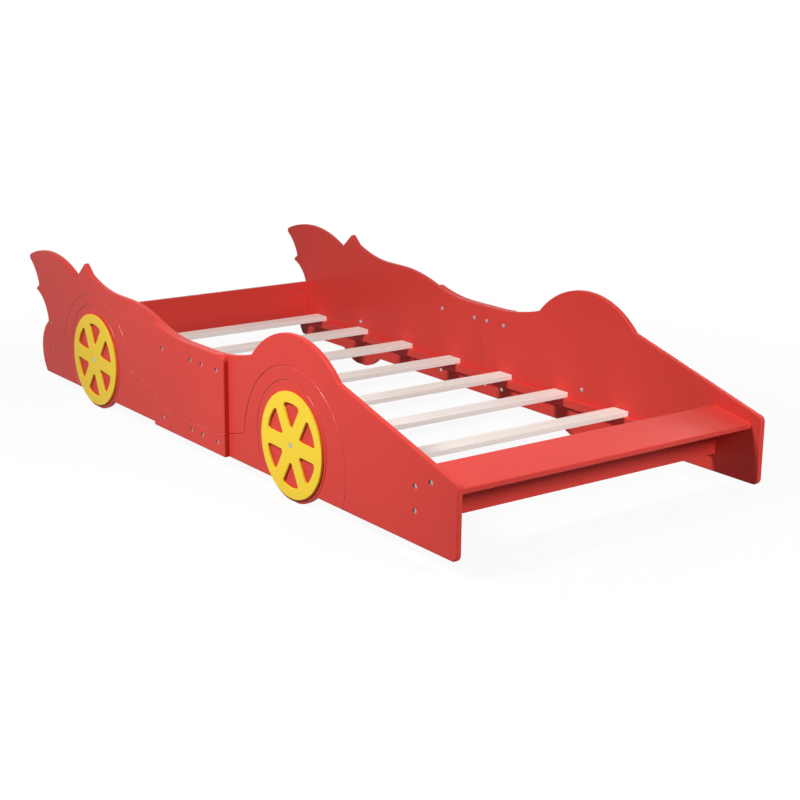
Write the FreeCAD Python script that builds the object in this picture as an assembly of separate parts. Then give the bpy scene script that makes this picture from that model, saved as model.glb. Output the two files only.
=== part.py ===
import FreeCAD, Part
import math
import os

# A child's bed shaped like a low racing car: four painted side panels, two door boards that join
# them, a headboard, a footboard with a sloping hood board, four ledger rails, seven loose slats and
# four flat wheels that each turn on one bolt.
# Millimetres. +X runs from the tail to the nose, +Y to the car's left, +Z up, floor at z = 0.

os.makedirs("parts", exist_ok=True)
V = FreeCAD.Vector

# ------------------------------------------------------------------ mattress bay and overall sizes
BAY_LENGTH = 1981.5          # clear length, headboard to footboard
BAY_WIDTH = 1000.0           # clear width between the side panels, for a 990 mattress
TAIL_OVERHANG = 149.0        # fin tip behind the headboard's front face
NOSE_OVERHANG = 169.5        # nose edge ahead of the footboard's rear face
OVERALL_HEIGHT = 450.0       # floor to the fin, the peak and the front wheel arch
BASE_HEIGHT = 40.0           # floor to the panels' straight bottom edge

# ------------------------------------------------------------------ board thicknesses
PANEL_THICKNESS = 15.0
DOOR_THICKNESS = 15.0
HEADBOARD_THICKNESS = 15.0
FOOTBOARD_THICKNESS = 15.0
HOOD_THICKNESS = 15.0
SLAT_THICKNESS = 15.0
WHEEL_THICKNESS = 6.0

# ------------------------------------------------------------------ edge roundings
PANEL_ARRIS = 3.5            # both faces of the side panels
DOOR_ARRIS = 3.5             # outer face of the doors
BOARD_ARRIS = 2.5            # long edges of the cross boards
RAIL_ARRIS = 1.2
SLAT_ARRIS = 0.8
WHEEL_ARRIS = 1.0

# ------------------------------------------------------------------ wheels
WHEEL_RADIUS = 144.0
WHEEL_LIFT = 10.0            # lowest point of a wheel above the floor
WHEEL_RIM = 29.5             # solid ring outside the windows
SPOKE_WIDTH = 40.0
SPOKE_COUNT = 6
WINDOW_CORNER = 8.0          # rounding of a window's three corners
REAR_WHEEL_TURN = -5.5       # degrees, how the wheels happen to stand
FRONT_WHEEL_TURN = -1.5
REAR_WHEEL_FROM_TAIL = 473.0
FRONT_WHEEL_FROM_NOSE = 689.6
FOOT_MARGIN = 12.0           # round foot of the panel outside the wheel
FOOT_BLEND = 60.0            # between the round foot and its flat sole
FOOT_FILLET = 12.0           # between the round foot and the bottom edge

# ------------------------------------------------------------------ seam and door
SEAM_OFFSET = -4.75          # seam of the side panels, from the middle of the bay
SEAM_GAP = 0.8
DOOR_REAR_REACH = 257.0      # door board behind the seam
DOOR_FRONT_REACH = 151.0     # door board ahead of the seam
DOOR_TOP_CORNER = 21.0
DOOR_BOTTOM_CORNER = 4.5

# ------------------------------------------------------------------ outline of the rear panel
SILL_HEIGHT = 327.0          # low flat top at the seam
SILL_REAR_RUN = 64.0
SHOULDER_DROP = 64.0         # flat top ahead of the peak, below the overall height
SHOULDER_RUN = 70.0
CHEEK_RUN = 180.0            # hollow sweep from the shoulder to the peak's flank
PEAK_FROM_TAIL = 415.0
PEAK_SLOPE = 40.5            # degrees, both flanks
PEAK_FLANK_RUN = 36.0
PEAK_RADIUS = 8.0
NOTCH_RADIUS = 4.0           # between the peak and the fin
FIN_RADIUS = 409.5
FIN_CROWN_FROM_TAIL = 155.0
FIN_TIP_RADIUS = 11.0
SCOOP_RADIUS = 150.0         # hollow rear edge of the fin
SCOOP_FOOT_FROM_TAIL = 64.0
SCOOP_FOOT_DROP = 123.0      # below the overall height
SCOOP_FILLET = 6.0
HOOK_FROM_TAIL = 36.5        # small hook under the fin
HOOK_DROP = 140.5            # below the overall height
HOOK_RADIUS = 4.5
TUCK_RADIUS = 115.0          # hollow between the hook and the bumper
TUCK_HEIGHT = 216.0
TUCK_FILLET = 4.0
BUMPER_RADIUS = 114.5
BUMPER_FROM_TAIL = 70.0      # bumper's rearmost point
BUMPER_HEIGHT = 117.5        # height of that point
BUMPER_FILLET = 9.0          # bumper to bottom edge

# ------------------------------------------------------------------ outline of the front panel
SILL_FRONT_RUN = 65.0
ARCH_RADIUS = 280.5
ARCH_SHIFT = 5.0             # arch centre ahead of the wheel centre
ARCH_FOOT_RISE = 29.7        # above the sill, where the sweep from it meets the arch
ARCH_FILLET = 9.0
HOOD_LINE_SLOPE = 15.75      # degrees, panel's top edge down to the nose
NOSE_DROP = 222.0            # nose's top corner, below the overall height
NOSE_CORNER = 19.0

# ------------------------------------------------------------------ routed lines
GROOVE_RADIUS = 1.5          # round-nosed cutter
GROOVE_DEPTH = 2.0
INNER_GROOVE_MARGIN = 22.0   # inner line outside the wheel
INNER_GROOVE_LIFT = 4.0      # inner line's centre above the axle
FRONT_INNER_SHIFT = -9.9
REAR_INNER_SHIFT = -8.4
FRONT_OUTER_RADIUS = 242.6
REAR_OUTER_RADIUS = 237.2
OUTER_GROOVE_DROP = 32.5     # outer line's centre below the axle
GROOVE_CORNER = 15.0
FRONT_LINE_FALL = 14.0       # degrees, body line from the front arch to the door
FRONT_LINE_HEIGHT = 107.0    # height at the door's front edge
REAR_LINE_RISE = 7.0         # degrees, body line from the door to the rear arch
REAR_LINE_HEIGHT = 142.0     # height at the door's rear edge
DOOR_LINE_HEIGHT = 102.5
LINE_UNDER_DOOR = 12.0       # the panels' body lines start this far under the door
DOOR_LINE_REAR_RISE = 28.5
DOOR_LINE_REAR_RUN = 118.0
DOOR_LINE_FRONT_RISE = 9.5
DOOR_LINE_FRONT_RUN = 80.0

# ------------------------------------------------------------------ cross boards
HEADBOARD_BOTTOM = 91.0
HEADBOARD_TOP = 244.0
FOOTBOARD_BOTTOM = 91.0
HOOD_REAR_DROP = 14.3        # hood board's rear underside, below the nose's top corner
HOOD_TILT = 10.1             # degrees, down to the nose
HOOD_DEPTH = 136.0

# ------------------------------------------------------------------ rails and slats
RAIL_WIDTH = 20.0
RAIL_HEIGHT = 25.0
RAIL_BOTTOM = 93.5
RAIL_END_PLAY = 0.5
SLAT_COUNT = 7
SLAT_WIDTH = 60.0
SLAT_SIDE_PLAY = 2.0
SLAT_PITCH = 258.0
FIRST_SLAT_FROM_HEAD = 83.0

# ------------------------------------------------------------------ bolts, nuts and dowels
BOLT_RADIUS = 3.0
BOLT_HEAD_RADIUS = 6.5
BOLT_HEAD_HEIGHT = 2.5
BOLT_HEAD_ROUNDING = 1.2
HEAD_SINK = 5.0              # depth of the recess a bolt head sits in
WHEEL_HEAD_SINK = 2.5        # the same in a wheel
RECESS_PLAY = 1.0            # recess outside the bolt head, in radius
SOCKET_FLATS = 4.0
SOCKET_DEPTH = 1.6
HOLE_CLEARANCE = 0.3         # bolts and nuts in their holes
THREAD_CLEARANCE = 0.1
CAP_RADIUS = 6.0             # flanged sleeve nut, flange on the inner face
CAP_THICKNESS = 1.8
SLEEVE_WALL = 1.3
SLEEVE_LENGTH = 11.0
BOLT_TIP_PLAY = 0.5          # bolt tip short of the inner face
BARREL_RADIUS = 5.0          # cross nut in a board's end
BARREL_INSET = 30.0
BARREL_PLAY = 1.0            # barrel short of each board face
BARREL_BOLT_END = 12.0       # bolt past the barrel's axis
DOWEL_RADIUS = 4.0
DOWEL_CLEARANCE = 0.1
DOWEL_IN_PANEL = 9.0
DOWEL_IN_RAIL = 12.0
DOWEL_IN_HOOD = 20.0
SLAT_DOWEL_DOWN = 9.0
SLAT_DOWEL_UP = 9.0
DOWEL_END_PLAY = 1.0
RAIL_DOWEL_MARGIN = 25.0     # least distance of a dowel from a rail's end
WASHER_RADIUS = 11.0
WASHER_THICKNESS = 1.0
WHEEL_FIT = 0.08             # radial play of a wheel on its bolt
WHEEL_SIDE_PLAY = 0.2

DOOR_BOLT_REAR_INSET = 56.0
DOOR_BOLT_FRONT_INSET = 41.0
SEAM_BOLT_REAR = 34.5
SEAM_BOLT_FRONT = 27.5
DOOR_BOLT_ABOVE_BASE = 36.0
DOOR_BOLT_BELOW_SILL = 46.0
HEADBOARD_BOLT_TOP_INSET = 33.0
HEADBOARD_BOLT_BOTTOM_INSET = 31.0
FOOTBOARD_BOLT_TOP_INSET = 29.5
FOOTBOARD_BOLT_BOTTOM_INSET = 31.5
HOOD_DOWEL_FROM_EDGE = 24.0  # from the hood board's front edge

# ------------------------------------------------------------------ places worked out from the sizes
half_length = (TAIL_OVERHANG + BAY_LENGTH + NOSE_OVERHANG) / 2
tail_x = -half_length
nose_x = half_length
head_x = tail_x + TAIL_OVERHANG
foot_x = nose_x - NOSE_OVERHANG
seam_x = (head_x + foot_x) / 2 + SEAM_OFFSET
door_rear_x = seam_x - DOOR_REAR_REACH
door_front_x = seam_x + DOOR_FRONT_REACH
rear_wheel_x = tail_x + REAR_WHEEL_FROM_TAIL
front_wheel_x = nose_x - FRONT_WHEEL_FROM_NOSE
axle_z = WHEEL_LIFT + WHEEL_RADIUS
foot_radius = WHEEL_RADIUS + FOOT_MARGIN
shoulder_z = OVERALL_HEIGHT - SHOULDER_DROP
arch_foot_z = SILL_HEIGHT + ARCH_FOOT_RISE
nose_z = OVERALL_HEIGHT - NOSE_DROP
hood_rear_z = nose_z - HOOD_REAR_DROP
inner_y = BAY_WIDTH / 2
panel_y = inner_y + PANEL_THICKNESS
door_y = panel_y + DOOR_THICKNESS
rail_top = RAIL_BOTTOM + RAIL_HEIGHT
rail_y = inner_y - RAIL_WIDTH / 2
recess_radius = BOLT_HEAD_RADIUS + RECESS_PLAY
slope = math.radians(HOOD_TILT)


# ------------------------------------------------------------------ outlines in the XZ plane
def meeting(centre_a, radius_a, centre_b, radius_b, side):
    """Point where two circles cross, to the left (side 1) or right (-1) of the line from a to b."""
    gap = math.dist(centre_a, centre_b)
    along = (radius_a ** 2 - radius_b ** 2 + gap ** 2) / (2 * gap)
    across = side * math.sqrt(radius_a ** 2 - along ** 2)
    ux = (centre_b[0] - centre_a[0]) / gap
    uz = (centre_b[1] - centre_a[1]) / gap
    return (centre_a[0] + ux * along - uz * across, centre_a[1] + uz * along + ux * across)


def on_circle(centre, toward, radius):
    """Point of a circle in the direction of another point."""
    reach = math.dist(centre, toward)
    return (centre[0] + (toward[0] - centre[0]) * radius / reach,
            centre[1] + (toward[1] - centre[1]) * radius / reach)


def circle_on_line(centre, radius, point, degrees, side):
    """Point where a sloping line crosses a circle: side 1 is the crossing with the larger x."""
    ux = math.cos(math.radians(degrees))
    uz = math.sin(math.radians(degrees))
    dx = point[0] - centre[0]
    dz = point[1] - centre[1]
    half = dx * ux + dz * uz
    step = -half + side * math.sqrt(half ** 2 - dx ** 2 - dz ** 2 + radius ** 2)
    return (point[0] + ux * step, point[1] + uz * step)


def tangent_radius(run, rise):
    """Radius of an arc that starts level and climbs rise over run."""
    return (run ** 2 + rise ** 2) / (2 * rise)


class Outline:
    """Straight runs and arcs in the XZ plane, drawn one after another."""

    def __init__(self, start):
        self.start = start
        self.here = start
        self.edges = []
        self.corners = []

    def line(self, x, z):
        self.edges.append(Part.LineSegment(V(self.here[0], 0, self.here[1]), V(x, 0, z)).toShape())
        self.here = (x, z)

    def arc(self, end, radius, turn):
        """Arc of less than half a circle; turn 1 bends to the left of travel, -1 to the right."""
        x0, z0 = self.here
        chord = math.dist(self.here, end)
        sagitta = radius - math.sqrt(max(radius ** 2 - chord ** 2 / 4, 0.0))
        nx = (end[1] - z0) / chord
        nz = -(end[0] - x0) / chord
        middle = V((x0 + end[0]) / 2 + turn * nx * sagitta, 0, (z0 + end[1]) / 2 + turn * nz * sagitta)
        self.edges.append(Part.Arc(V(x0, 0, z0), middle, V(end[0], 0, end[1])).toShape())
        self.here = end

    def round_here(self, radius):
        """Remembers a rounding for the corner that has been reached."""
        self.corners.append((self.here[0], self.here[1], radius))

    def close(self):
        if math.dist(self.here, self.start) > 1e-6:
            self.line(*self.start)

    def board(self, y_inner, thickness):
        """The outline as a board on the car's right, its corners rounded, its faces still sharp."""
        face = Part.Face(Part.Wire(self.edges))
        face.translate(V(0, -y_inner, 0))
        solid = face.extrude(V(0, -thickness, 0))
        return round_corners(solid, self.corners)


def round_corners(solid, corners):
    """Rounds the edges that run across a board at the given places."""
    for x, z, radius in corners:
        picked = []
        for edge in solid.Edges:
            a = edge.Vertexes[0].Point
            b = edge.Vertexes[-1].Point
            crosswise = abs(a.x - b.x) < 0.01 and abs(a.z - b.z) < 0.01
            if crosswise and math.dist((a.x, a.z), (x, z)) < 0.05:
                picked.append(edge)
        solid = solid.makeFillet(radius, picked)
    return solid


def round_rim(solid, planes, radius, keep_sharp=()):
    """Rounds the rim of the faces at the given y planes, apart from the rim at some x planes."""
    picked = []
    for edge in solid.Edges:
        box = edge.BoundBox
        on_face = any(abs(box.YMin - y) < 0.01 and abs(box.YMax - y) < 0.01 for y in planes)
        sharp = any(abs(box.XMin - x) < 0.01 and abs(box.XMax - x) < 0.01 for x in keep_sharp)
        if on_face and not sharp:
            picked.append(edge)
    return solid.makeFillet(radius, picked)


def rounded_box(x0, x1, y0, y1, z0, z1, radius, along):
    """A box whose four edges along one axis (0 for x, 1 for y) are rounded."""
    solid = Part.makeBox(x1 - x0, y1 - y0, z1 - z0, V(x0, y0, z0))
    picked = []
    for edge in solid.Edges:
        size = edge.BoundBox
        if (size.XLength, size.YLength)[along] > 0.5 * ((x1 - x0), (y1 - y0))[along]:
            picked.append(edge)
    return solid.makeFillet(radius, picked)


def add_round_foot(outline, wheel_x):
    """The panel's round foot under a wheel, drawn towards the nose, cut flat at the floor."""
    centre_z = axle_z
    side_reach = math.sqrt(foot_radius ** 2 - (centre_z - BASE_HEIGHT) ** 2)
    sole_reach = math.sqrt(foot_radius ** 2 - centre_z ** 2)
    outline.line(wheel_x - side_reach, BASE_HEIGHT)
    outline.round_here(FOOT_FILLET)
    outline.arc((wheel_x - sole_reach, 0.0), foot_radius, 1)
    outline.round_here(FOOT_BLEND)
    outline.line(wheel_x + sole_reach, 0.0)
    outline.round_here(FOOT_BLEND)
    outline.arc((wheel_x + side_reach, BASE_HEIGHT), foot_radius, 1)
    outline.round_here(FOOT_FILLET)


def rear_outline(end_x):
    """Rear half of the side: bumper, hook, fin, peak, shoulder and sill, up to the seam."""
    bumper_centre = (tail_x + BUMPER_FROM_TAIL + BUMPER_RADIUS, BUMPER_HEIGHT)
    drop = BUMPER_HEIGHT - BASE_HEIGHT
    bumper_foot = (bumper_centre[0] - math.sqrt(BUMPER_RADIUS ** 2 - drop ** 2), BASE_HEIGHT)
    climb = TUCK_HEIGHT - BUMPER_HEIGHT
    tuck = (bumper_centre[0] - math.sqrt(BUMPER_RADIUS ** 2 - climb ** 2), TUCK_HEIGHT)
    hook = (tail_x + HOOK_FROM_TAIL, OVERALL_HEIGHT - HOOK_DROP)
    scoop_foot = (tail_x + SCOOP_FOOT_FROM_TAIL, OVERALL_HEIGHT - SCOOP_FOOT_DROP)
    fin_centre = (tail_x + FIN_CROWN_FROM_TAIL, OVERALL_HEIGHT - FIN_RADIUS)
    tip_x = tail_x + FIN_TIP_RADIUS
    reach = FIN_RADIUS - FIN_TIP_RADIUS
    tip_centre = (tip_x, fin_centre[1] + math.sqrt(reach ** 2 - (tip_x - fin_centre[0]) ** 2))
    scoop_centre = meeting(tip_centre, FIN_TIP_RADIUS + SCOOP_RADIUS, scoop_foot, SCOOP_RADIUS, -1)
    tip_low = on_circle(tip_centre, scoop_centre, FIN_TIP_RADIUS)
    tip_high = on_circle(fin_centre, tip_centre, FIN_RADIUS)
    flank = math.tan(math.radians(PEAK_SLOPE))
    crown_extra = PEAK_RADIUS * (1 / math.cos(math.radians(PEAK_SLOPE)) - 1)
    peak = (tail_x + PEAK_FROM_TAIL, OVERALL_HEIGHT + crown_extra)
    notch = circle_on_line(fin_centre, FIN_RADIUS, peak, PEAK_SLOPE, 1)
    if notch[0] > peak[0]:
        notch = circle_on_line(fin_centre, FIN_RADIUS, peak, PEAK_SLOPE, -1)
    cheek = (peak[0] + PEAK_FLANK_RUN, peak[1] - PEAK_FLANK_RUN * flank)
    shoulder_x = cheek[0] + CHEEK_RUN
    rise_x = shoulder_x + SHOULDER_RUN
    sill_x = seam_x - SILL_REAR_RUN
    middle = ((rise_x + sill_x) / 2, (shoulder_z + SILL_HEIGHT) / 2)
    sweep = tangent_radius(sill_x - middle[0], middle[1] - SILL_HEIGHT)

    outline = Outline((end_x, SILL_HEIGHT))
    outline.line(sill_x, SILL_HEIGHT)
    outline.arc(middle, sweep, -1)
    outline.arc((rise_x, shoulder_z), sweep, 1)
    outline.line(shoulder_x, shoulder_z)
    outline.arc(cheek, tangent_radius(CHEEK_RUN, cheek[1] - shoulder_z), -1)
    outline.round_here(PEAK_RADIUS)
    outline.line(*peak)
    outline.round_here(PEAK_RADIUS)
    outline.line(*notch)
    outline.round_here(NOTCH_RADIUS)
    outline.arc(tip_high, FIN_RADIUS, 1)
    outline.arc(tip_low, FIN_TIP_RADIUS, 1)
    outline.arc(scoop_foot, SCOOP_RADIUS, -1)
    outline.round_here(SCOOP_FILLET)
    outline.line(*hook)
    outline.round_here(HOOK_RADIUS)
    outline.arc(tuck, TUCK_RADIUS, -1)
    outline.round_here(TUCK_FILLET)
    outline.arc(bumper_foot, BUMPER_RADIUS, 1)
    outline.round_here(BUMPER_FILLET)
    add_round_foot(outline, rear_wheel_x)
    outline.line(end_x, BASE_HEIGHT)
    outline.close()
    return outline


def front_outline(start_x):
    """Front half of the side: sill, wheel arch, hood line and nose, from the seam on."""
    arch_centre = (front_wheel_x + ARCH_SHIFT, OVERALL_HEIGHT - ARCH_RADIUS)
    climb = arch_foot_z - arch_centre[1]
    arch_foot = (arch_centre[0] - math.sqrt(ARCH_RADIUS ** 2 - climb ** 2), arch_foot_z)
    sill_x = seam_x + SILL_FRONT_RUN
    nose = (nose_x, nose_z)
    hood_top = circle_on_line(arch_centre, ARCH_RADIUS, nose, 180 - HOOD_LINE_SLOPE, -1)
    crown = (arch_centre[0], OVERALL_HEIGHT)
    sweep = tangent_radius(arch_foot[0] - sill_x, arch_foot_z - SILL_HEIGHT)

    outline = Outline((start_x, BASE_HEIGHT))
    add_round_foot(outline, front_wheel_x)
    outline.line(nose_x, BASE_HEIGHT)
    outline.round_here(NOSE_CORNER)
    outline.line(*nose)
    outline.round_here(NOSE_CORNER)
    outline.line(*hood_top)
    outline.round_here(ARCH_FILLET)
    outline.arc(crown, ARCH_RADIUS, 1)
    outline.arc(arch_foot, ARCH_RADIUS, 1)
    outline.round_here(ARCH_FILLET)
    outline.arc((sill_x, SILL_HEIGHT), sweep, -1)
    outline.line(start_x, SILL_HEIGHT)
    outline.close()
    return outline


# ------------------------------------------------------------------ placing, drilling and saving
def rod(start, direction, radius, length):
    return Part.makeCylinder(radius, length, V(*start), V(*direction))


def mirrored(shape):
    """The same piece on the car's left."""
    return shape.mirror(V(0, 0, 0), V(0, 1, 0))


def both_sides(shapes):
    return list(shapes) + [mirrored(shape) for shape in shapes]


def save(name, shapes):
    """Writes one node; like pieces share it as separate solids."""
    solids = [solid for shape in shapes for solid in shape.Solids]
    node = solids[0] if len(solids) == 1 else Part.makeCompound(solids)
    node.exportStep("parts/" + name + ".step")
    print(name, len(solids), round(node.Volume), node.isValid())


def save_sides(name, shape):
    save(name + "_right", [shape])
    save(name + "_left", [mirrored(shape)])


def turned(shape, origin, direction):
    """Puts a piece that was made along +Z at a place, along a direction."""
    turn = FreeCAD.Rotation(V(0, 0, 1), V(*direction))
    moved = shape.copy()
    moved.Placement = FreeCAD.Placement(V(*origin), turn)
    return moved


def bolt(origin, length):
    """Socket-head bolt on the car's right: head seated at origin, shank towards the middle."""
    head = Part.makeCylinder(BOLT_HEAD_RADIUS, BOLT_HEAD_HEIGHT)
    crown = [edge for edge in head.Edges
             if abs(edge.BoundBox.ZMin - BOLT_HEAD_HEIGHT) < 0.01 and edge.BoundBox.ZLength < 0.01]
    head = head.makeFillet(min(BOLT_HEAD_ROUNDING, 0.8 * BOLT_HEAD_HEIGHT), crown)
    corners = []
    for step in range(7):
        angle = math.radians(60 * step)
        reach = SOCKET_FLATS / 2 / math.cos(math.radians(30))
        corners.append(V(reach * math.cos(angle), reach * math.sin(angle), BOLT_HEAD_HEIGHT))
    depth = min(SOCKET_DEPTH, 0.8 * BOLT_HEAD_HEIGHT)
    socket = Part.Face(Part.makePolygon(corners)).extrude(V(0, 0, -depth))
    shank = Part.makeCylinder(BOLT_RADIUS, length, V(0, 0, -length))
    return turned(head.cut(socket).fuse(shank).removeSplitter(), origin, (0, -1, 0))


def head_recess(x, z, face_y, depth):
    """Round recess for a bolt head in a board's outer face, on the car's right."""
    return rod((x, -face_y - depth, z), (0, 1, 0), recess_radius, 2 * depth)


def sleeve_nut(x, z):
    """Flanged sleeve nut pushed into the panel from its inner face, on the car's right."""
    flange = Part.makeCylinder(CAP_RADIUS, CAP_THICKNESS)
    rim = [edge for edge in flange.Edges
           if abs(edge.BoundBox.ZMin - CAP_THICKNESS) < 0.01 and edge.BoundBox.ZLength < 0.01]
    flange = flange.makeFillet(0.5 * CAP_THICKNESS, rim)
    sleeve = Part.makeCylinder(BOLT_RADIUS + SLEEVE_WALL, sleeve_length, V(0, 0, -sleeve_length))
    thread = Part.makeCylinder(BOLT_RADIUS + THREAD_CLEARANCE, sleeve_length, V(0, 0, -sleeve_length))
    nut = flange.fuse(sleeve).removeSplitter().cut(thread)
    return turned(nut, (x, -inner_y, z), (0, 1, 0))


def sleeve_holes(x, z, outer_y):
    """Stepped hole for a bolt and its sleeve nut, from the inner face out to outer_y."""
    wide = rod((x, -inner_y, z), (0, -1, 0), BOLT_RADIUS + SLEEVE_WALL + HOLE_CLEARANCE,
               sleeve_length + BOLT_TIP_PLAY)
    narrow = rod((x, -inner_y, z), (0, -1, 0), BOLT_RADIUS + HOLE_CLEARANCE, outer_y - inner_y)
    return wide.fuse(narrow)


sleeve_length = min(SLEEVE_LENGTH, PANEL_THICKNESS - 2 * BOLT_TIP_PLAY)


# ------------------------------------------------------------------ where the fasteners sit
door_bolt_xs = (door_rear_x + DOOR_BOLT_REAR_INSET, seam_x - SEAM_BOLT_REAR,
                seam_x + SEAM_BOLT_FRONT, door_front_x - DOOR_BOLT_FRONT_INSET)
door_bolt_zs = (BASE_HEIGHT + DOOR_BOLT_ABOVE_BASE, SILL_HEIGHT - DOOR_BOLT_BELOW_SILL)
door_bolt_places = [(x, z) for x in door_bolt_xs for z in door_bolt_zs]
wheel_places = [(rear_wheel_x, axle_z), (front_wheel_x, axle_z)]

head_bolt_x = head_x - HEADBOARD_THICKNESS / 2
head_bolt_places = [(head_bolt_x, HEADBOARD_BOTTOM + HEADBOARD_BOLT_BOTTOM_INSET),
                    (head_bolt_x, HEADBOARD_TOP - HEADBOARD_BOLT_TOP_INSET)]
foot_bolt_x = foot_x + FOOTBOARD_THICKNESS / 2
foot_bolt_places = [(foot_bolt_x, FOOTBOARD_BOTTOM + FOOTBOARD_BOLT_BOTTOM_INSET),
                    (foot_bolt_x, hood_rear_z - FOOTBOARD_BOLT_TOP_INSET)]


def on_hood(along, above):
    """Point of the hood board: along its slope from the rear edge, above its underside."""
    return (foot_x + along * math.cos(slope) + above * math.sin(slope),
            hood_rear_z - along * math.sin(slope) + above * math.cos(slope))


hood_bolt_place = on_hood(HOOD_DEPTH / 2, HOOD_THICKNESS / 2)
hood_dowel_place = on_hood(HOOD_DEPTH - HOOD_DOWEL_FROM_EDGE, HOOD_THICKNESS / 2)

slat_xs = [head_x + FIRST_SLAT_FROM_HEAD + SLAT_PITCH * step for step in range(SLAT_COUNT)]
rail_ends = {"rear": (head_x + RAIL_END_PLAY, seam_x - SEAM_GAP / 2),
             "front": (seam_x + SEAM_GAP / 2, foot_x - RAIL_END_PLAY)}
rail_z = RAIL_BOTTOM + RAIL_HEIGHT / 2


def rail_dowel_xs(end):
    """Dowels stand half way between the slats, clear of the rail's ends."""
    low, high = rail_ends[end]
    places = [slat_xs[0] + SLAT_PITCH * (step - 0.5) for step in range(SLAT_COUNT + 1)]
    return [x for x in places if low + RAIL_DOWEL_MARGIN < x < high - RAIL_DOWEL_MARGIN]


def rail_dowel_holes(end):
    radius = DOWEL_RADIUS + DOWEL_CLEARANCE
    length = DOWEL_IN_RAIL + DOWEL_IN_PANEL + 2 * DOWEL_END_PLAY
    start = inner_y - DOWEL_IN_RAIL - DOWEL_END_PLAY
    return [rod((x, -start, rail_z), (0, -1, 0), radius, length) for x in rail_dowel_xs(end)]


# ------------------------------------------------------------------ routed lines
def groove(edges):
    """Round-nosed cut along a path on the plane y = 0 face, later moved to a board's outer face."""
    path = Part.Wire(edges)
    first = path.Edges[0]
    start = first.valueAt(first.FirstParameter)
    heading = first.tangentAt(first.FirstParameter)
    ring = Part.Wire(Part.makeCircle(GROOVE_RADIUS, start, heading))
    return path.makePipeShell([ring], True, False)


def arch_groove(centre, radius, meets, degrees, side):
    """Line round a wheel arch that turns through a small corner into the body line.

    centre and radius are the arch line's, meets is where the body line reaches the door's edge,
    degrees is the body line's slope away from the door, and side is 1 where the door lies
    behind the arch and -1 where it lies ahead of it. The body line starts under the door."""
    ux = side * math.cos(math.radians(degrees))
    uz = math.sin(math.radians(degrees))
    small = GROOVE_CORNER
    # The corner's centre lies above the body line by its radius, and outside the arch by as much.
    px = meets[0] - side * uz * small
    pz = meets[1] + side * ux * small
    half = (px - centre[0]) * ux + (pz - centre[1]) * uz
    outside = (px - centre[0]) ** 2 + (pz - centre[1]) ** 2 - (radius + small) ** 2
    step = -half - math.sqrt(half ** 2 - outside)
    corner = (px + ux * step, pz + uz * step)
    leaves = (corner[0] + side * uz * small, corner[1] - side * ux * small)
    joins = on_circle(centre, corner, radius)
    middle_x = (leaves[0] + joins[0]) / 2 - corner[0]
    middle_z = (leaves[1] + joins[1]) / 2 - corner[1]
    reach = math.hypot(middle_x, middle_z)
    bend = (corner[0] + middle_x * small / reach, corner[1] + middle_z * small / reach)
    far_z = BASE_HEIGHT - 2 * GROOVE_RADIUS
    far_x = centre[0] + side * math.sqrt(radius ** 2 - (centre[1] - far_z) ** 2)
    top = (centre[0], centre[1] + radius)
    start = (meets[0] - ux * LINE_UNDER_DOOR, meets[1] - uz * LINE_UNDER_DOOR)
    line = Part.LineSegment(V(start[0], 0, start[1]), V(leaves[0], 0, leaves[1])).toShape()
    turn = Part.Arc(V(leaves[0], 0, leaves[1]), V(bend[0], 0, bend[1]), V(joins[0], 0, joins[1]))
    arch = Part.Arc(V(joins[0], 0, joins[1]), V(top[0], 0, top[1]), V(far_x, 0, far_z))
    return groove([line, turn.toShape(), arch.toShape()])


def ring_groove(centre, radius):
    """Line round a wheel that runs out at the bottom edge on both sides."""
    low_z = BASE_HEIGHT - 2 * GROOVE_RADIUS
    reach = math.sqrt(radius ** 2 - (centre[1] - low_z) ** 2)
    arc = Part.Arc(V(centre[0] - reach, 0, low_z), V(centre[0], 0, centre[1] + radius),
                   V(centre[0] + reach, 0, low_z))
    return groove([arc.toShape()])


def door_groove():
    """Body line across the door: sweeps down from its rear edge, runs level, and lifts at the front."""
    rear = door_rear_x - 2 * GROOVE_RADIUS
    front = door_front_x + 2 * GROOVE_RADIUS
    level_rear = rear + DOOR_LINE_REAR_RUN
    level_front = front - DOOR_LINE_FRONT_RUN
    path = Outline((rear, DOOR_LINE_HEIGHT + DOOR_LINE_REAR_RISE))
    path.arc((level_rear, DOOR_LINE_HEIGHT), tangent_radius(DOOR_LINE_REAR_RUN, DOOR_LINE_REAR_RISE), 1)
    path.line(level_front, DOOR_LINE_HEIGHT)
    path.arc((front, DOOR_LINE_HEIGHT + DOOR_LINE_FRONT_RISE),
             tangent_radius(DOOR_LINE_FRONT_RUN, DOOR_LINE_FRONT_RISE), 1)
    return groove(path.edges)


def route(board, face_y, cuts):
    """Cuts the lines into a board's outer face on the car's right."""
    for cut in cuts:
        cut.translate(V(0, -face_y - GROOVE_RADIUS + GROOVE_DEPTH, 0))
        board = board.cut(cut)
    return board


# ------------------------------------------------------------------ side panels and doors
def arris(wanted, thickness, *radii):
    """An edge rounding, limited by the board and by its tightest corners."""
    return min([wanted, 0.45 * thickness] + [0.85 * radius for radius in radii])


def finish_panel(board, seam_edge_x, end, bolt_places, cuts):
    rounding = arris(PANEL_ARRIS, PANEL_THICKNESS, HOOK_RADIUS, PEAK_RADIUS, FIN_TIP_RADIUS)
    board = round_rim(board, (-inner_y, -panel_y), rounding, (seam_edge_x,))
    holes = [sleeve_holes(x, z, panel_y) for x, z in bolt_places]
    holes += rail_dowel_holes(end)
    return route(board.cut(holes), panel_y, cuts)


def end_bolt_holes(places):
    """Holes through a side panel, with a recess for the bolt head at each."""
    holes = [rod((x, -inner_y, z), (0, -1, 0), BOLT_RADIUS + HOLE_CLEARANCE, PANEL_THICKNESS)
             for x, z in places]
    return holes + [head_recess(x, z, panel_y, HEAD_SINK) for x, z in places]


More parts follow.
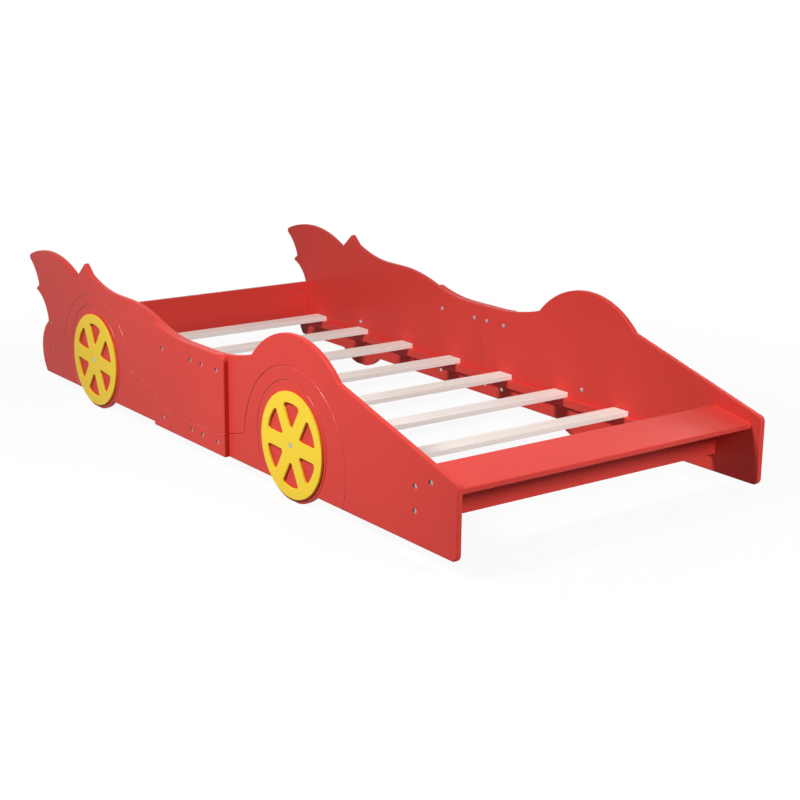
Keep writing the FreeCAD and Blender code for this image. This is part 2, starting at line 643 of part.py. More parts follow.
def rear_side_panel():
    edge_x = seam_x - SEAM_GAP / 2
    board = rear_outline(edge_x).board(inner_y, PANEL_THICKNESS)
    inner = ring_groove((rear_wheel_x + REAR_INNER_SHIFT, axle_z + INNER_GROOVE_LIFT),
                        WHEEL_RADIUS + INNER_GROOVE_MARGIN)
    outer = arch_groove((rear_wheel_x, axle_z - OUTER_GROOVE_DROP), REAR_OUTER_RADIUS,
                        (door_rear_x, REAR_LINE_HEIGHT), REAR_LINE_RISE, -1)
    places = [(x, z) for x, z in door_bolt_places if x < seam_x] + [wheel_places[0]]
    board = finish_panel(board, edge_x, "rear", places, [inner, outer])
    return board.cut(end_bolt_holes(head_bolt_places))


def front_side_panel():
    edge_x = seam_x + SEAM_GAP / 2
    board = front_outline(edge_x).board(inner_y, PANEL_THICKNESS)
    inner = ring_groove((front_wheel_x + FRONT_INNER_SHIFT, axle_z + INNER_GROOVE_LIFT),
                        WHEEL_RADIUS + INNER_GROOVE_MARGIN)
    outer = arch_groove((front_wheel_x, axle_z - OUTER_GROOVE_DROP), FRONT_OUTER_RADIUS,
                        (door_front_x, FRONT_LINE_HEIGHT), FRONT_LINE_FALL, 1)
    places = [(x, z) for x, z in door_bolt_places if x > seam_x] + [wheel_places[1]]
    board = finish_panel(board, edge_x, "front", places, [inner, outer])
    dowel = rod((hood_dowel_place[0], -inner_y, hood_dowel_place[1]), (0, -1, 0),
                DOWEL_RADIUS + DOWEL_CLEARANCE, DOWEL_IN_PANEL + DOWEL_END_PLAY)
    return board.cut(end_bolt_holes(foot_bolt_places + [hood_bolt_place]) + [dowel])


def door_panel():
    """Board over the seam whose top edge follows the two panels it joins."""
    rear = rear_outline(seam_x).board(panel_y, DOOR_THICKNESS)
    front = front_outline(seam_x).board(panel_y, DOOR_THICKNESS)
    span = Part.makeBox(door_front_x - door_rear_x, 3 * DOOR_THICKNESS, 2 * OVERALL_HEIGHT,
                        V(door_rear_x, -panel_y - 2 * DOOR_THICKNESS, 0))
    board = rear.fuse(front).removeSplitter().common(span).removeSplitter()
    corners = []
    for vertex in board.Vertexes:
        point = vertex.Point
        at_end = min(abs(point.x - door_rear_x), abs(point.x - door_front_x)) < 0.01
        if at_end and abs(point.y + panel_y) < 0.01:
            low = abs(point.z - BASE_HEIGHT) < 0.01
            corners.append((point.x, point.z, DOOR_BOTTOM_CORNER if low else DOOR_TOP_CORNER))
    board = round_corners(board.Solids[0], corners)
    rounding = arris(DOOR_ARRIS, DOOR_THICKNESS, DOOR_BOTTOM_CORNER, DOOR_TOP_CORNER)
    board = round_rim(board, (-door_y,), rounding)
    holes = [rod((x, -panel_y, z), (0, -1, 0), BOLT_RADIUS + HOLE_CLEARANCE, DOOR_THICKNESS)
             for x, z in door_bolt_places]
    holes += [head_recess(x, z, door_y, HEAD_SINK) for x, z in door_bolt_places]
    return route(board.cut(holes), door_y, [door_groove()])


# ------------------------------------------------------------------ cross boards
barrel_y = inner_y - BARREL_INSET


def barrel_bolt_holes(places):
    """Bolt holes in both ends of a cross board, past the cross nuts."""
    length = BARREL_INSET + BARREL_BOLT_END + BOLT_TIP_PLAY
    holes = [rod((x, -inner_y, z), (0, 1, 0), BOLT_RADIUS + HOLE_CLEARANCE, length) for x, z in places]
    return both_sides(holes)


def barrel_holes(places, thickness, depth_axis):
    """Blind holes for the cross nuts, open at the face that depth_axis points out of."""
    radius = BARREL_RADIUS + DOWEL_CLEARANCE
    back = thickness / 2 - BARREL_PLAY
    holes = [rod((x - depth_axis[0] * back, -barrel_y, z - depth_axis[2] * back),
                 depth_axis, radius, thickness) for x, z in places]
    return both_sides(holes)


def barrel_nuts(places, thickness, depth_axis):
    length = thickness - 2 * BARREL_PLAY
    nuts = []
    for x, z in places:
        start = (x - depth_axis[0] * length / 2, -barrel_y, z - depth_axis[2] * length / 2)
        nut = rod(start, depth_axis, BARREL_RADIUS, length)
        thread = rod((x, -inner_y, z), (0, 1, 0), BOLT_RADIUS + THREAD_CLEARANCE, 2 * BARREL_INSET)
        nuts.append(nut.cut(thread))
    return both_sides(nuts)


def end_bolts(places):
    """Bolts through a side panel into a cross board's end."""
    length = PANEL_THICKNESS - HEAD_SINK + BARREL_INSET + BARREL_BOLT_END
    return both_sides([bolt((x, HEAD_SINK - panel_y, z), length) for x, z in places])


def headboard():
    board = rounded_box(head_x - HEADBOARD_THICKNESS, head_x, -inner_y, inner_y,
                        HEADBOARD_BOTTOM, HEADBOARD_TOP, arris(BOARD_ARRIS, HEADBOARD_THICKNESS), 1)
    return board.cut(barrel_bolt_holes(head_bolt_places)
                     + barrel_holes(head_bolt_places, HEADBOARD_THICKNESS, (1, 0, 0)))


def footboard():
    """Upright board whose top edge is planed to the hood board's slope."""
    back_x = foot_x + FOOTBOARD_THICKNESS
    front_top = hood_rear_z - FOOTBOARD_THICKNESS * math.tan(slope)
    outline = Part.makePolygon([V(foot_x, -inner_y, FOOTBOARD_BOTTOM), V(back_x, -inner_y, FOOTBOARD_BOTTOM),
                                V(back_x, -inner_y, front_top), V(foot_x, -inner_y, hood_rear_z),
                                V(foot_x, -inner_y, FOOTBOARD_BOTTOM)])
    board = Part.Face(outline).extrude(V(0, BAY_WIDTH, 0))
    bottom = [edge for edge in board.Edges
              if edge.BoundBox.YLength > BAY_WIDTH / 2 and edge.BoundBox.ZMax < FOOTBOARD_BOTTOM + 1]
    board = board.makeFillet(arris(BOARD_ARRIS, FOOTBOARD_THICKNESS), bottom)
    return board.cut(barrel_bolt_holes(foot_bolt_places)
                     + barrel_holes(foot_bolt_places, FOOTBOARD_THICKNESS, (-1, 0, 0)))


hood_down = (-math.sin(slope), 0, -math.cos(slope))


def hood_board():
    """Sloping shelf over the footboard, its rear edge above the footboard's rear face."""
    points = [on_hood(along, above) for along, above in
              ((0, 0), (HOOD_DEPTH, 0), (HOOD_DEPTH, HOOD_THICKNESS), (0, HOOD_THICKNESS), (0, 0))]
    outline = Part.makePolygon([V(x, -inner_y, z) for x, z in points])
    board = Part.Face(outline).extrude(V(0, BAY_WIDTH, 0))
    rear_low = on_hood(0, 0)
    edges = [edge for edge in board.Edges if edge.BoundBox.YLength > BAY_WIDTH / 2
             and math.dist((edge.BoundBox.Center.x, edge.BoundBox.Center.z), rear_low) > 1]
    board = board.makeFillet(arris(BOARD_ARRIS, HOOD_THICKNESS), edges)
    dowels = [rod((hood_dowel_place[0], -inner_y, hood_dowel_place[1]), (0, 1, 0),
                  DOWEL_RADIUS + DOWEL_CLEARANCE, DOWEL_IN_HOOD + DOWEL_END_PLAY)]
    return board.cut(barrel_bolt_holes([hood_bolt_place])
                     + barrel_holes([hood_bolt_place], HOOD_THICKNESS, hood_down) + both_sides(dowels))


def hood_dowels():
    start = (hood_dowel_place[0], -inner_y - DOWEL_IN_PANEL, hood_dowel_place[1])
    return both_sides([rod(start, (0, 1, 0), DOWEL_RADIUS, DOWEL_IN_PANEL + DOWEL_IN_HOOD)])


# ------------------------------------------------------------------ ledger rails, slats, their dowels
def slat_dowel_holes():
    radius = DOWEL_RADIUS + DOWEL_CLEARANCE
    length = SLAT_DOWEL_DOWN + SLAT_DOWEL_UP + 2 * DOWEL_END_PLAY
    return [rod((x, -rail_y, rail_top - SLAT_DOWEL_DOWN - DOWEL_END_PLAY), (0, 0, 1), radius, length)
            for x in slat_xs]


def ledger_rail(end):
    low, high = rail_ends[end]
    rail = rounded_box(low, high, -inner_y, -inner_y + RAIL_WIDTH, RAIL_BOTTOM, rail_top,
                       arris(RAIL_ARRIS, RAIL_WIDTH), 0)
    return rail.cut(slat_dowel_holes() + rail_dowel_holes(end))


def slat(x):
    half = inner_y - SLAT_SIDE_PLAY
    board = rounded_box(x - SLAT_WIDTH / 2, x + SLAT_WIDTH / 2, -half, half, rail_top,
                        rail_top + SLAT_THICKNESS, arris(SLAT_ARRIS, SLAT_THICKNESS), 1)
    return board.cut(both_sides(slat_dowel_holes()))


def slat_dowels():
    length = SLAT_DOWEL_DOWN + SLAT_DOWEL_UP
    return both_sides([rod((x, -rail_y, rail_top - SLAT_DOWEL_DOWN), (0, 0, 1), DOWEL_RADIUS, length)
                       for x in slat_xs])


def rail_dowels():
    length = DOWEL_IN_RAIL + DOWEL_IN_PANEL
    start = inner_y - DOWEL_IN_RAIL
    return both_sides([rod((x, -start, rail_z), (0, -1, 0), DOWEL_RADIUS, length)
                       for x in rail_dowel_xs("rear") + rail_dowel_xs("front")])


# ------------------------------------------------------------------ wheels
wheel_back_y = panel_y + WASHER_THICKNESS + WHEEL_SIDE_PLAY
wheel_front_y = wheel_back_y + WHEEL_THICKNESS


def wheel_window():
    """One window between two spokes with parallel sides, centred on +Z above the axle."""
    outer = WHEEL_RADIUS - WHEEL_RIM
    half = math.radians(180 / SPOKE_COUNT)
    root = SPOKE_WIDTH / 2 / math.sin(half)
    spread = half - math.asin(SPOKE_WIDTH / 2 / outer)
    right = (outer * math.sin(spread), outer * math.cos(spread))
    outline = Outline((0.0, root))
    outline.round_here(WINDOW_CORNER)
    outline.line(*right)
    outline.round_here(WINDOW_CORNER)
    outline.arc((-right[0], right[1]), outer, 1)
    outline.round_here(WINDOW_CORNER)
    outline.close()
    return outline.board(wheel_back_y, WHEEL_THICKNESS)


def wheel(x, turn):
    """Flat disc with six windows, on the car's right, turning on its bolt."""
    disc = rod((0, -wheel_back_y, 0), (0, -1, 0), WHEEL_RADIUS, WHEEL_THICKNESS)
    bore = rod((0, -wheel_back_y, 0), (0, -1, 0), BOLT_RADIUS + WHEEL_FIT, WHEEL_THICKNESS)
    recess = head_recess(0, 0, wheel_front_y, WHEEL_HEAD_SINK)
    windows = []
    for step in range(SPOKE_COUNT):
        window = wheel_window()
        window.rotate(V(0, 0, 0), V(0, 1, 0), 360 / SPOKE_COUNT * step)
        windows.append(window)
    disc = disc.cut(windows).Solids[0]
    disc = round_rim(disc, (-wheel_front_y,), arris(WHEEL_ARRIS, WHEEL_THICKNESS))
    disc = disc.cut([bore, recess])
    disc.rotate(V(0, 0, 0), V(0, 1, 0), -turn)
    disc.translate(V(x, 0, axle_z))
    return disc


def wheel_bolts():
    seat = wheel_front_y - WHEEL_HEAD_SINK + WHEEL_SIDE_PLAY
    length = seat - inner_y - BOLT_TIP_PLAY
    return both_sides([bolt((x, -seat, z), length) for x, z in wheel_places])


def wheel_washers():
    rings = []
    for x, z in wheel_places:
        ring = rod((x, -panel_y, z), (0, -1, 0), WASHER_RADIUS, WASHER_THICKNESS)
        bore = rod((x, -panel_y, z), (0, -1, 0), BOLT_RADIUS + HOLE_CLEARANCE, WASHER_THICKNESS)
        rings.append(ring.cut(bore))
    return both_sides(rings)


def door_bolts():
    length = DOOR_THICKNESS - HEAD_SINK + PANEL_THICKNESS - BOLT_TIP_PLAY
    return both_sides([bolt((x, HEAD_SINK - door_y, z), length) for x, z in door_bolt_places])


# ------------------------------------------------------------------ the whole bed
save_sides("rear_side_panel", rear_side_panel())
save_sides("front_side_panel", front_side_panel())
save_sides("door_panel", door_panel())
save("headboard", [headboard()])
save("footboard", [footboard()])
save("hood_board", [hood_board()])
for end_name in ("rear", "front"):
    save_sides("ledger_rail_" + end_name, ledger_rail(end_name))
for number, slat_x in enumerate(slat_xs, 1):
    save("slat_" + str(number), [slat(slat_x)])
save_sides("wheel_rear", wheel(rear_wheel_x, REAR_WHEEL_TURN))
save_sides("wheel_front", wheel(front_wheel_x, FRONT_WHEEL_TURN))
save("wheel_bolts", wheel_bolts())
save("wheel_washers", wheel_washers())
save("wheel_nuts", both_sides([sleeve_nut(x, z) for x, z in wheel_places]))
save("door_bolts", door_bolts())
save("door_nuts", both_sides([sleeve_nut(x, z) for x, z in door_bolt_places]))
save("headboard_bolts", end_bolts(head_bolt_places))
save("headboard_barrel_nuts", barrel_nuts(head_bolt_places, HEADBOARD_THICKNESS, (1, 0, 0)))
save("footboard_bolts", end_bolts(foot_bolt_places))
save("footboard_barrel_nuts", barrel_nuts(foot_bolt_places, FOOTBOARD_THICKNESS, (-1, 0, 0)))
save("hood_bolts", end_bolts([hood_bolt_place]))
save("hood_barrel_nuts", barrel_nuts([hood_bolt_place], HOOD_THICKNESS, hood_down))
save("hood_dowels", hood_dowels())
save("slat_dowels", slat_dowels())
save("rail_dowels", rail_dowels())
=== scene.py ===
"""Dresses a child's car bed: satin red boards, golden wheels, pale slats and zinc-plated bolts.

Metres throughout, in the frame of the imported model: +X to the nose, +Y to the car's left, +Z up."""

import math

import bpy
from bpy.props import FloatProperty, FloatVectorProperty, PointerProperty
from mathutils import Matrix, Vector

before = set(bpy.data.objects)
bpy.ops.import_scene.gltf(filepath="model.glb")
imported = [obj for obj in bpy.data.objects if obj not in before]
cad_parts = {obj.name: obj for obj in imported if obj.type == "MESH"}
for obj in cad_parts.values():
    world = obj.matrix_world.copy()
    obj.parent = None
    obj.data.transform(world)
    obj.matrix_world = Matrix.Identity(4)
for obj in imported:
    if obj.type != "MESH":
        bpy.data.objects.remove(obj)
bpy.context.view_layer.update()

bl_info = {
    "name": "Car bed finishes",
    "version": (1, 0, 0),
    "blender": (4, 5, 0),
    "location": "View3D > Sidebar > Car bed",
    "description": "Paints, planes and lights the child's car bed",
    "category": "Object",
}

SIDES = ("right", "left")
ENDS = ("rear", "front")
SLAT_NAMES = sorted(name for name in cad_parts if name.removeprefix("slat_").isdigit())

# ---------------------------------------------------------------------------- fixed values
# A noise is given by its scale in cycles per metre, its detail and, where they aren't plain,
# its roughness and its stretch along X, Y and Z. A span is the part of a value's range that is
# used, and a share is the most that a layer covers what lies below it.
FULL = (0.0, 1.0)
NOISE_SPAN = (0.3, 0.7)          # holds nearly all of a plain noise's values

DRIFT = (1.6, 2.0)               # broad patches of shade in the paint
GLOSS = (34.0, 4.0, 0.6)         # duller and shinier patches of the paint
GLOSS_SPAN = (0.25, 0.75)
GLOSS_STEPS = (-0.05, 0.06)      # what they add to the paint's roughness
PEEL_DETAIL = 1.0
BEVEL_SAMPLES = 6
EDGE_COSINES = (0.99, 0.86)      # turn of the coat's surface, from flat paint to a full edge

WANDER = (3.0, 3.0, 0.55, (4.0, 0.55, 4.0))      # bends the yearly rings
FIBRE = (1.0, 5.0, 0.7, (900.0, 16.0, 900.0))
GRAIN = (1.0, 2.0, 0.5, (230.0, 4.0, 230.0))
PATCH = (2.2, 2.0, 0.5, (2.0, 1.0, 2.0))
RING_BEND = 0.055                # how far the rings wander
RING_LEAN = 0.7                  # how far the rings shift with height
LATE_POWER = 3.0                 # narrows the late wood's lines
LATE_SHARE = 0.75
FIBRE_SPAN, FIBRE_SHARE, FIBRE_SHADE = (0.35, 0.75), 0.35, 1.05
GRAIN_SPAN, GRAIN_SHARE = (0.48, 0.64), 0.75
PATCH_SPAN, PATCH_SHARE, PATCH_SHADE = (0.35, 0.7), 0.35, 1.08
KNOTS = ((-0.112, 0.17), (-0.905, -0.12))        # X and Y, on the fourth and the first slat
KNOT_RADIUS = 0.0028
KNOT_FADE = (KNOT_RADIUS, 1.6 * KNOT_RADIUS)
KNOT_NARROW_X, KNOT_NARROW_Y = 1.6, 0.8          # a knot is longer along the grain than across it
KNOT_SHARE = 0.85
# Colour of the painted light that pales the slats' narrow sides, so that they look as lit as the
# tops.
SIDE_LIGHT_COLOUR = (0.97, 0.94, 0.90)
SIDE_LIGHT_SPAN = (0.2, 0.8)        # size of a normal's X, from a slat's top to its narrow side
WOOD_ROUGHNESS = 0.62
WOOD_ROUGHNESS_RANGE = (0.54, 0.72)
WOOD_SHINE = 0.3
WOOD_RELIEF = 0.00003            # height of the fibres and of the late wood

MOTTLE = (900.0, 2.0)
MOTTLE_SHADES = (0.88, 1.08)
MARKS = (2600.0, 3.0)            # turning marks in the zinc plate
MARK_STEPS = (-0.06, 0.1)        # what they add to the plate's roughness
MARK_DEPTH = 0.00001

# Each lamp's azimuth from +X towards +Y and elevation, both in degrees, and what it aims at.
LAMPS = (
    ("key", 269.0, 46.0, (0.27, -0.4, 0.2)),
    ("nose", 4.0, 25.0, (0.2, 0.0, 0.2)),
    ("back", 102.0, 14.0, (-0.2, 0.3, 0.2)),
)
LAMP_DISTANCE = 3.6
LAMP_SPREAD = math.radians(125.0)
FLOOR_REACH = 40.0
FLOOR_BOUNCE = 0.34              # share of the light that the floor throws back at the bed
FLOOR_WHITE = 0.90               # the same, as the camera sees it
SHADOW_FADE = (1.3, 2.2)         # distances from the bed's middle over which its shadow fades
SENSOR_WIDTH = 36.0              # millimetres, as is the lens


# ---------------------------------------------------------------------------- settings
class PaintSettings(bpy.types.PropertyGroup):
    """Sprayed lacquer on the boards and wheels."""

    red: FloatVectorProperty(
        name="Board red", description="Colour of the side panels, doors and cross boards",
        default=(0.70, 0.059, 0.046), subtype="COLOR", min=0.0, max=1.0)
    yellow: FloatVectorProperty(
        name="Wheel yellow", description="Colour of the wheel discs",
        default=(1.0, 0.69, 0.045), subtype="COLOR", min=0.0, max=1.0)
    shade_change: FloatProperty(
        name="Shade change", description="How far broad patches of the coat differ in shade",
        default=0.05, subtype="FACTOR", min=0.0, max=0.5)
    roughness: FloatProperty(
        name="Roughness", description="Middle roughness of the satin coat",
        default=0.33, subtype="FACTOR", min=0.05, max=1.0)
    shine: FloatProperty(
        name="Shine", description="Strength of the coat's reflections",
        default=0.08, subtype="FACTOR", min=0.0, max=1.0)
    peel_size: FloatProperty(
        name="Peel size", description="Width of one ripple of the sprayed coat",
        default=0.0022, unit="LENGTH", min=0.0005, max=0.02)
    peel_depth: FloatProperty(
        name="Peel depth", description="Height of the ripples of the sprayed coat",
        default=0.000012, unit="LENGTH", precision=6, min=0.0, max=0.001)
    soft_edge: FloatProperty(
        name="Soft edge", description="Radius to which the coat rounds the grooves and corners",
        default=0.0018, unit="LENGTH", precision=5, min=0.0, max=0.01)
    edge_shine: FloatProperty(
        name="Edge shine", description="Strength of the reflections where the coat rounds an edge",
        default=1.0, subtype="FACTOR", min=0.0, max=1.0)
    edge_polish: FloatProperty(
        name="Edge polish", description="How much smoother the coat is on a rounded edge",
        default=0.15, subtype="FACTOR", min=0.0, max=0.3)


class WoodSettings(bpy.types.PropertyGroup):
    """Planed pale wood of the slats."""

    pale: FloatVectorProperty(
        name="Pale wood", description="Colour of the early wood",
        default=(0.965, 0.92, 0.865), subtype="COLOR", min=0.0, max=1.0)
    streak: FloatVectorProperty(
        name="Grain streak", description="Colour of the late wood's lines",
        default=(0.80, 0.71, 0.62), subtype="COLOR", min=0.0, max=1.0)
    knot: FloatVectorProperty(
        name="Knot", description="Colour of a small knot",
        default=(0.16, 0.08, 0.05), subtype="COLOR", min=0.0, max=1.0)
    # Painted light: how far the slats' narrow sides are paled, so that they look as lit as the tops.
    side_light_paint: FloatProperty(
        name="Pale edge", description="How much paler the slats' narrow sides are",
        default=0.7, subtype="FACTOR", min=0.0, max=1.0)
    ring_width: FloatProperty(
        name="Ring width", description="Spacing of the yearly rings",
        default=0.0085, unit="LENGTH", min=0.001, max=0.05)


class SteelSettings(bpy.types.PropertyGroup):
    """Zinc-plated bolts, nuts and washers."""

    zinc: FloatVectorProperty(
        name="Zinc", description="Colour of the plated steel",
        default=(0.45, 0.55, 0.61), subtype="COLOR", min=0.0, max=1.0)
    roughness: FloatProperty(
        name="Roughness", description="Roughness of the plated steel",
        default=0.28, subtype="FACTOR", min=0.05, max=1.0)


class StageSettings(bpy.types.PropertyGroup):
    """Floor, lamps and camera."""

    lens: FloatProperty(
        name="Lens", description="Focal length in millimetres on a 36 mm wide square frame",
        default=73.45, min=20.0, max=200.0)
    camera_place: FloatVectorProperty(
        name="Camera place", description="Where the camera stands",
        default=(3.893, -2.716, 1.375), subtype="TRANSLATION", unit="LENGTH")
    azimuth: FloatProperty(
        name="Azimuth", description="Direction of view, turned from +Y towards -X",
        default=math.radians(53.431), subtype="ANGLE", unit="ROTATION")
    elevation: FloatProperty(
        name="Elevation", description="How far the camera looks down",
        default=math.radians(15.072), subtype="ANGLE", unit="ROTATION")
    roll: FloatProperty(
        name="Roll", description="How far the camera leans",
        default=math.radians(0.646), subtype="ANGLE", unit="ROTATION")
    key_power: FloatProperty(
        name="Key light", description="Power of the high lamp on the near side, in watts",
        default=63.5, min=0.0, max=1000.0)
    key_size: FloatProperty(
        name="Key size", description="Side of the square key lamp",
        default=0.8, unit="LENGTH", min=0.05, max=4.0)
    nose_power: FloatProperty(
        name="Nose light", description="Power of the low lamp beyond the nose, in watts",
        default=31.0, min=0.0, max=1000.0)
    nose_size: FloatProperty(
        name="Nose lamp size", description="Side of the square lamp beyond the nose",
        default=0.7, unit="LENGTH", min=0.05, max=4.0)
    back_power: FloatProperty(
        name="Back light", description="Power of the low lamp behind the far side, in watts",
        default=26.0, min=0.0, max=1000.0)
    back_size: FloatProperty(
        name="Back lamp size", description="Side of the square lamp behind the far side",
        default=1.2, unit="LENGTH", min=0.05, max=4.0)
    room_level: FloatProperty(
        name="Room level", description="Strength of the light that comes from all round",
        default=0.02, min=0.0, max=2.0)
    floor_shadow: FloatProperty(
        name="Floor shadow", description="How much of the bed's shadow shows on the white floor",
        default=0.07, subtype="FACTOR", min=0.0, max=1.0)


# ---------------------------------------------------------------------------- node helpers
def cleared(block):
    """The node tree of a material or world, emptied."""
    block.use_nodes = True
    block.node_tree.nodes.clear()
    return block.node_tree


def ranged(tree, value, span, target):
    """A value's span, changed to another range."""
    made = tree.nodes.new("ShaderNodeMapRange")
    for key, number in zip(("From Min", "From Max", "To Min", "To Max"), (*span, *target)):
        made.inputs[key].default_value = number
    tree.links.new(value, made.inputs["Value"])
    return made.outputs["Result"]


def calculated(tree, operation, first, second=0.0):
    """Result of a sum on numbers or outputs."""
    made = tree.nodes.new("ShaderNodeMath")
    made.operation = operation
    for socket, value in zip(made.inputs, (first, second)):
        if isinstance(value, bpy.types.NodeSocket):
            tree.links.new(value, socket)
        else:
            socket.default_value = value
    return made.outputs[0]


def shade(colour, factor):
    return tuple(min(1.0, channel * factor) for channel in colour)


def around(middle, steps):
    return tuple(middle + step for step in steps)


class Finish:
    """A material whose nodes are added one after another, read from the object's coordinates."""

    def __init__(self, name, roughness, metallic=0.0):
        self.material = bpy.data.materials.new(name)
        self.tree = cleared(self.material)
        output = self.node("OutputMaterial")
        self.shader = self.node("BsdfPrincipled")
        self.link(self.shader.outputs["BSDF"], output.inputs["Surface"])
        self.shader.inputs["Roughness"].default_value = roughness
        self.shader.inputs["Metallic"].default_value = metallic
        self.place = self.node("TexCoord").outputs["Object"]

    def node(self, kind, **values):
        made = self.tree.nodes.new("ShaderNode" + kind)
        for key, value in values.items():
            setattr(made, key, value)
        return made

    def link(self, source, target):
        self.tree.links.new(source, target)

    def feed(self, key, source):
        """Gives the shader's named input an output."""
        self.link(source, self.shader.inputs[key])

    def axes(self, vector):
        """X, Y and Z of a vector."""
        made = self.node("SeparateXYZ")
        self.link(vector, made.inputs["Vector"])
        return made.outputs["X"], made.outputs["Y"], made.outputs["Z"]

    def stretched(self, scale):
        """Object coordinates, stretched along the axes."""
        mapping = self.node("Mapping")
        mapping.inputs["Scale"].default_value = scale
        self.link(self.place, mapping.inputs["Vector"])
        return mapping.outputs["Vector"]

    def noise(self, scale, detail, roughness=0.5, stretch=None):
        made = self.node("TexNoise")
        made.inputs["Scale"].default_value = scale
        made.inputs["Detail"].default_value = detail
        made.inputs["Roughness"].default_value = roughness
        self.link(self.stretched(stretch) if stretch else self.place, made.inputs["Vector"])
        return made.outputs["Fac"]

    def spread(self, value, span, target):
        return ranged(self.tree, value, span, target)

    def math(self, operation, first, second=0.0):
        return calculated(self.tree, operation, first, second)

    def mix(self, factor, first, second):
        """Blend of two colours, each a colour or an output."""
        made = self.node("Mix", data_type="RGBA")
        self.link(factor, made.inputs["Factor"])
        for socket, value in ((made.inputs[6], first), (made.inputs[7], second)):
            if isinstance(value, bpy.types.NodeSocket):
                self.link(value, socket)
            else:
                socket.default_value = (*value, 1.0)
        return made.outputs[2]

    def mottled(self, noise, colour, dark, light):
        """A colour that drifts between two shades of itself."""
        share = self.spread(self.noise(*noise), NOISE_SPAN, FULL)
        return self.mix(share, shade(colour, dark), shade(colour, light))

    def bump(self, height, distance):
        """Relief on top of what already turns the surface."""
        made = self.node("Bump")
        made.inputs["Distance"].default_value = distance
        self.link(height, made.inputs["Height"])
        if self.shader.inputs["Normal"].links:
            self.link(self.shader.inputs["Normal"].links[0].from_socket, made.inputs["Normal"])
        self.feed("Normal", made.outputs["Normal"])


# ---------------------------------------------------------------------------- finishes
def paint(name, colour, settings):
    """Sprayed satin lacquer: broad drifts of shade, uneven gloss and a fine orange-peel ripple."""
    finish = Finish(name, settings.roughness)
    change = settings.shade_change
    finish.feed("Base Color", finish.mottled(DRIFT, colour, 1.0 - change, 1.0 + change))
    rounded = finish.node("Bevel", samples=BEVEL_SAMPLES)
    rounded.inputs["Radius"].default_value = settings.soft_edge
    finish.feed("Normal", rounded.outputs["Normal"])
    turned = finish.node("VectorMath", operation="DOT_PRODUCT")
    finish.link(rounded.outputs["Normal"], turned.inputs[0])
    finish.link(finish.node("NewGeometry").outputs["Normal"], turned.inputs[1])
    edge = finish.spread(turned.outputs["Value"], EDGE_COSINES, FULL)
    rough = finish.spread(finish.noise(*GLOSS), GLOSS_SPAN, around(settings.roughness, GLOSS_STEPS))
    polish = finish.math("MULTIPLY", edge, settings.edge_polish)
    finish.feed("Roughness", finish.math("SUBTRACT", rough, polish))
    shine = finish.spread(edge, FULL, (settings.shine, settings.edge_shine))
    finish.feed("Specular IOR Level", shine)
    finish.bump(finish.noise(1.0 / settings.peel_size, PEEL_DETAIL), settings.peel_depth)
    return finish.material


def planed_wood(name, settings):
    """Planed pale wood with its grain along Y: ring lines, fine fibres, two small knots and painted
    light that pales the narrow sides.
    """
    finish = Finish(name, WOOD_ROUGHNESS)
    x, y, z = finish.axes(finish.place)
    across = finish.math("ADD", x, finish.math("MULTIPLY", z, RING_LEAN))
    bend = finish.math("MULTIPLY", finish.noise(*WANDER), RING_BEND)
    bent = finish.math("ADD", across, bend)
    rings = finish.math("FRACT", finish.math("DIVIDE", bent, settings.ring_width))
    late = finish.math("POWER", rings, LATE_POWER)
    colour = finish.mix(finish.math("MULTIPLY", late, LATE_SHARE), settings.pale, settings.streak)
    fibre = finish.noise(*FIBRE)
    for noise, span, share, tint in (
            (fibre, FIBRE_SPAN, FIBRE_SHARE, shade(settings.streak, FIBRE_SHADE)),
            (finish.noise(*GRAIN), GRAIN_SPAN, GRAIN_SHARE, settings.streak),
            (finish.noise(*PATCH), PATCH_SPAN, PATCH_SHARE, shade(settings.pale, PATCH_SHADE))):
        colour = finish.mix(finish.spread(noise, span, (0.0, share)), colour, tint)
    for knot_x, knot_y in KNOTS:
        away_x = finish.math("MULTIPLY", finish.math("SUBTRACT", x, knot_x), KNOT_NARROW_X)
        away_y = finish.math("MULTIPLY", finish.math("SUBTRACT", y, knot_y), KNOT_NARROW_Y)
        away = finish.math("SQRT", finish.math("ADD", finish.math("MULTIPLY", away_x, away_x),
                                               finish.math("MULTIPLY", away_y, away_y)))
        colour = finish.mix(finish.spread(away, KNOT_FADE, (KNOT_SHARE, 0.0)), colour, settings.knot)
    # Painted light: the narrow sides, whose normals point along X, are paled so that they look as lit
    # as the tops.
    normal_x = finish.axes(finish.node("NewGeometry").outputs["Normal"])[0]
    side_light_share = finish.spread(finish.math("ABSOLUTE", normal_x), SIDE_LIGHT_SPAN,
                            (0.0, settings.side_light_paint))
    finish.feed("Base Color", finish.mix(side_light_share, colour, SIDE_LIGHT_COLOUR))
    finish.feed("Roughness", finish.spread(fibre, NOISE_SPAN, WOOD_ROUGHNESS_RANGE))
    finish.shader.inputs["Specular IOR Level"].default_value = WOOD_SHINE
    finish.bump(fibre, WOOD_RELIEF)
    finish.bump(late, WOOD_RELIEF)
    return finish.material


def zinc_plate(name, settings):
    """Bright zinc plate: cool grey metal with faint mottling and fine turning marks."""
    finish = Finish(name, settings.roughness, metallic=1.0)
    finish.feed("Base Color", finish.mottled(MOTTLE, settings.zinc, *MOTTLE_SHADES))
    marks = finish.noise(*MARKS)
    rough = finish.spread(marks, NOISE_SPAN, around(settings.roughness, MARK_STEPS))
    finish.feed("Roughness", rough)
    finish.bump(marks, MARK_DEPTH)
    return finish.material


def dress(names, material):
    """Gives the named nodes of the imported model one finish."""
    for name in names:
        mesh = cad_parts[name].data
        mesh.materials.clear()
        mesh.materials.append(material)


def material_once(name, make, *values):
    """The named finish, made the first time that it is asked for."""
    return bpy.data.materials.get(name) or make(name, *values)


def red_paint(scene):
    return material_once("red_lacquer", paint, scene.bed_paint.red, scene.bed_paint)


